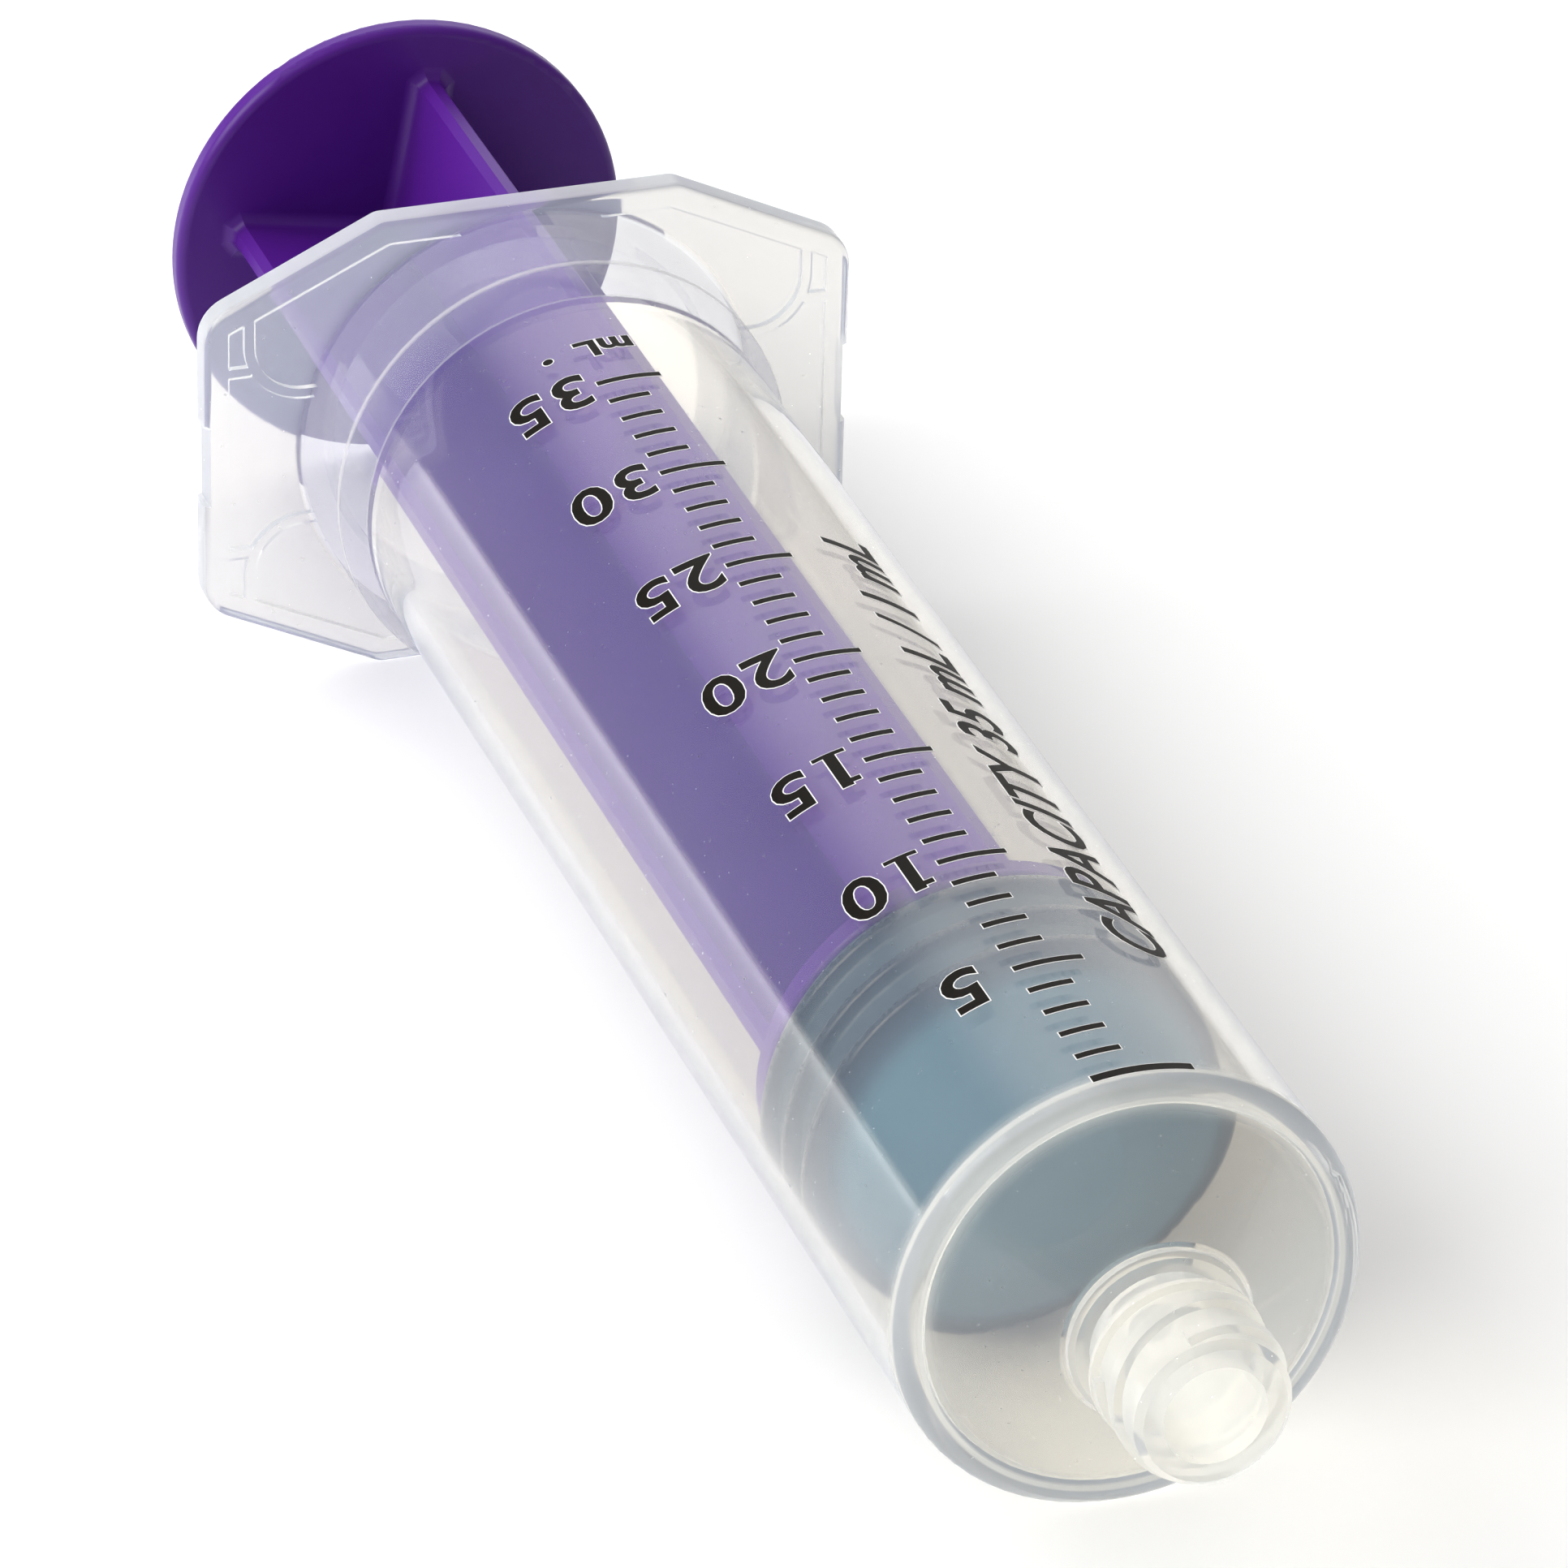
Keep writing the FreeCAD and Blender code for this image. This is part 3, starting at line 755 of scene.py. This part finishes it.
def printed_text(name, text, tall, wide, x, angle, height, grow, upright=True, slant=0.0):
    """Lettering on the barrel's skin, centred at one station and angle.

    Its capitals are tall high, and it is wide across unless that is zero. Upright lettering reads
    around the barrel, other lettering along it. Its strokes are thickened by grow on each side.
    """
    clear_selection()
    bpy.ops.object.text_add(location=(0, 0, 0))
    piece = bpy.context.object
    letters = piece.data
    letters.body = text
    letters.align_x = "CENTER"
    letters.align_y = "CENTER"
    letters.resolution_u = 4
    letters.size = tall / CAPITAL_SHARE
    letters.shear = slant
    letters.offset = grow
    letters.extrude = height / 2
    bpy.context.view_layer.update()
    bpy.ops.object.convert(target="MESH")
    piece = start_piece(name)
    across = [vertex.co.x for vertex in piece.data.vertices]
    upwards = [vertex.co.y for vertex in piece.data.vertices]
    middle = ((max(across) + min(across)) / 2, (max(upwards) + min(upwards)) / 2)
    piece.data.transform(Matrix.Translation((-middle[0], -middle[1], height / 2)))
    if wide:
        length = max(across) - min(across)
        piece.data.transform(Matrix.Diagonal((wide / length, 1, 1, 1)))
    if not upright:
        piece.data.transform(Matrix.Rotation(-math.pi / 2, 4, "Z"))
    clear_selection()
    piece.select_set(True)
    bpy.context.view_layer.objects.active = piece
    bpy.ops.object.mode_set(mode="EDIT")
    bpy.ops.mesh.select_all(action="SELECT")
    bpy.ops.mesh.remove_doubles(threshold=MERGE_DISTANCE)
    for cut in range(-TEXT_FACETS_EACH_WAY, TEXT_FACETS_EACH_WAY + 1):
        bpy.ops.mesh.select_all(action="SELECT")
        bpy.ops.mesh.bisect(plane_co=(cut * TEXT_FACET, 0, 0), plane_no=(1, 0, 0))
    bpy.ops.object.mode_set(mode="OBJECT")
    piece.data.transform(Matrix.Translation((angle * BARREL_RADIUS, x, 0)))
    wrap(piece, BARREL_RADIUS - BURY)
    merge_and_face_out(piece)
    return piece


def print_pair(prints, edges, text, tall, wide, x, angle, upright=True, slant=0.0, weight=0.0):
    """Adds one print and its painted pale halo to two lists."""
    edge_wide = wide + 2 * TEXT_EDGE if wide else wide
    prints.append(printed_text(
        "print", text, tall, wide, x, angle, TEXT_HEIGHT, weight, upright, slant))
    edges.append(printed_text(
        "edge", text, tall, edge_wide, x, angle, TEXT_EDGE_HEIGHT, weight + TEXT_EDGE, upright, slant))


def add_serifs(prints, edges, x, angle, tall):
    """Gives the numeral one its foot and its flag."""
    foot_span, foot_thickness, foot_inset = math.radians(8.4), 0.32 * MM, 0.1 * MM
    flag_span, flag_thickness, flag_inset = math.radians(3.8), 0.42 * MM, 0.45 * MM
    bottom, top = x - tall / 2, x + tall / 2
    foot = line_and_edge(bottom + foot_inset, angle + foot_span / 2, foot_span, foot_thickness)
    flag = line_and_edge(top - flag_inset, angle, flag_span, flag_thickness)
    for line, edge in (foot, flag):
        prints.append(line)
        edges.append(edge)


class SYRINGE_OT_numerals(bpy.types.Operator):
    """Print the numerals and the unit on the barrel"""

    bl_idname = "syringe.numerals"
    bl_label = "Numerals"

    def execute(self, context):
        sizes = context.scene.syringe_scale
        tall = sizes.digit_height
        prints, edges = [], []
        for count in range(MAJOR_STEP, sizes.capacity + 1, MAJOR_STEP):
            x = RIM - sizes.zero - count * sizes.step
            digits = str(count)
            for digit, degrees in zip(digits, DIGIT_ANGLES[len(digits)]):
                angle = math.radians(degrees)
                print_pair(prints, edges, digit, tall, 0, x, angle, weight=DIGIT_WEIGHT)
                if digit == "1":
                    add_serifs(prints, edges, x, angle, tall)
        unit_x = RIM - sizes.zero - UNIT_READING * sizes.step
        print_pair(
            prints, edges, "mL", UNIT_TALL, UNIT_WIDE, unit_x, math.radians(UNIT_ANGLE),
            weight=DIGIT_WEIGHT)
        print_pair(
            prints, edges, ".", DOT_TALL, 0, unit_x, math.radians(DOT_ANGLE), weight=DOT_WEIGHT)
        dress_print(context, prints, edges, "scale_numerals", "scale_numeral_edges")
        return {"FINISHED"}


class SYRINGE_OT_legend(bpy.types.Operator):
    """Print a plain capacity legend along the barrel"""

    bl_idname = "syringe.legend"
    bl_label = "Capacity legend"

    def execute(self, context):
        prints, edges = [], []
        print_pair(
            prints, edges, LEGEND, LEGEND_TALL, LEGEND_WIDE, LEGEND_MIDDLE,
            math.radians(LEGEND_ANGLE), upright=False, slant=LEGEND_SLANT, weight=LEGEND_WEIGHT)
        dress_print(context, prints, edges, "capacity_legend", "capacity_legend_edges")
        return {"FINISHED"}


# ------------------------------------------------------------------ stage

def softbox(name, place, aim, size, power):
    """A rectangular light that looks at a point."""
    clear_selection()
    bpy.ops.object.light_add(type="AREA", location=place)
    lamp = bpy.context.object
    lamp.name = name
    lamp.data.shape = "RECTANGLE"
    lamp.data.size, lamp.data.size_y = size
    lamp.data.energy = power
    direction = Vector(aim) - Vector(place)
    lamp.rotation_euler = direction.to_track_quat("-Z", "Y").to_euler()
    return lamp


def studio_room(strength):
    """The light of the room: brighter behind on the right, darker behind on the left."""
    tree = Finish(bpy.data.worlds.new("studio_room"))
    view = tree.add("ShaderNodeTexCoord", output="Generated")

    def facing(direction, low, high):
        towards = tree.add("ShaderNodeVectorMath", {"operation": "DOT_PRODUCT"}, {
            0: view, 1: Vector(direction).normalized()}, output="Value")
        return tree.ramp(towards, low, high)

    walls = tree.mix(facing(*DARK_SIDE), PALE_WALL, DARK_WALL)
    room = tree.add("ShaderNodeBackground", inputs={"Color": walls, "Strength": strength})
    window = tree.add("ShaderNodeBackground", inputs={
        "Color": BRIGHT_WALL, "Strength": BRIGHT_SIDE_GAIN * strength})
    light = tree.blend(facing(*BRIGHT_SIDE), room, window)
    return tree.finish(light, "ShaderNodeOutputWorld")


class SYRINGE_OT_stage(bpy.types.Operator):
    """Set the floor under the flange's edge and the rim, the lights and the camera"""

    bl_idname = "syringe.stage"
    bl_label = "Studio"

    def execute(self, context):
        studio = context.scene.syringe_studio
        clear_selection()
        rise = -BARREL_RADIUS - FLANGE_LOW[2]
        tilt = math.atan2(rise, RIM - FLANGE_LOW[0])
        bpy.ops.mesh.primitive_plane_add(
            size=FLOOR_SIZE, location=(FLANGE_LOW[0], 0, FLANGE_LOW[2]), rotation=(0, -tilt, 0))
        floor = start_piece("studio_floor")
        settle(floor)
        floor.data.materials.append(floor_paint(context.scene.syringe_colours))
        softbox("key_softbox", KEY_PLACE, STAGE_CENTRE, KEY_SIZE, studio.key_power)
        top = softbox("top_softbox", TOP_PLACE, STAGE_CENTRE, TOP_SIZE, studio.fill_power)
        top.visible_glossy = False
        far = softbox("far_floor_light", FAR_PLACE, FAR_AIM, FAR_SIZE, studio.far_power)
        far.visible_glossy = False
        far.visible_transmission = False
        context.scene.world = studio_room(studio.room)
        context.scene.view_settings.view_transform = "Standard"
        bpy.ops.object.camera_add(location=studio.camera_place, rotation=studio.camera_turn)
        camera = bpy.context.object
        camera.name = "studio_camera"
        camera.data.sensor_width = 36.0
        camera.data.lens = studio.focal_length
        camera.data.clip_start = 0.01
        context.scene.camera = camera
        return {"FINISHED"}


class SYRINGE_PT_panel(bpy.types.Panel):
    """Lists the syringe's pieces in the sidebar"""

    bl_idname = "SYRINGE_PT_panel"
    bl_label = "Oral syringe"
    bl_space_type = "VIEW_3D"
    bl_region_type = "UI"
    bl_category = "Syringe"

    def draw(self, context):
        for operator in OPERATORS:
            self.layout.operator(operator.bl_idname)
        for name in GROUPS:
            group = getattr(context.scene, name)
            box = self.layout.box()
            for field in group.bl_rna.properties:
                if field.identifier not in ("rna_type", "name"):
                    box.prop(group, field.identifier)


GROUPS = {
    "syringe_stopper": SYRINGE_PG_stopper,
    "syringe_scale": SYRINGE_PG_scale,
    "syringe_colours": SYRINGE_PG_colours,
    "syringe_studio": SYRINGE_PG_studio,
}
OPERATORS = (
    SYRINGE_OT_barrel, SYRINGE_OT_rod, SYRINGE_OT_stopper, SYRINGE_OT_lines,
    SYRINGE_OT_numerals, SYRINGE_OT_legend, SYRINGE_OT_stage,
)


def register():
    for group in GROUPS.values():
        bpy.utils.register_class(group)
    for name, group in GROUPS.items():
        setattr(bpy.types.Scene, name, bpy.props.PointerProperty(type=group))
    for operator in OPERATORS:
        bpy.utils.register_class(operator)
    bpy.utils.register_class(SYRINGE_PT_panel)


def unregister():
    bpy.utils.unregister_class(SYRINGE_PT_panel)
    for operator in reversed(OPERATORS):
        bpy.utils.unregister_class(operator)
    for name, group in GROUPS.items():
        delattr(bpy.types.Scene, name)
        bpy.utils.unregister_class(group)


def main():
    register()
    bpy.ops.syringe.barrel()
    bpy.ops.syringe.rod()
    bpy.ops.syringe.stopper()
    bpy.ops.syringe.lines()
    bpy.ops.syringe.numerals()
    bpy.ops.syringe.legend()
    bpy.ops.syringe.stage()


if __name__ == "__main__":
    main()
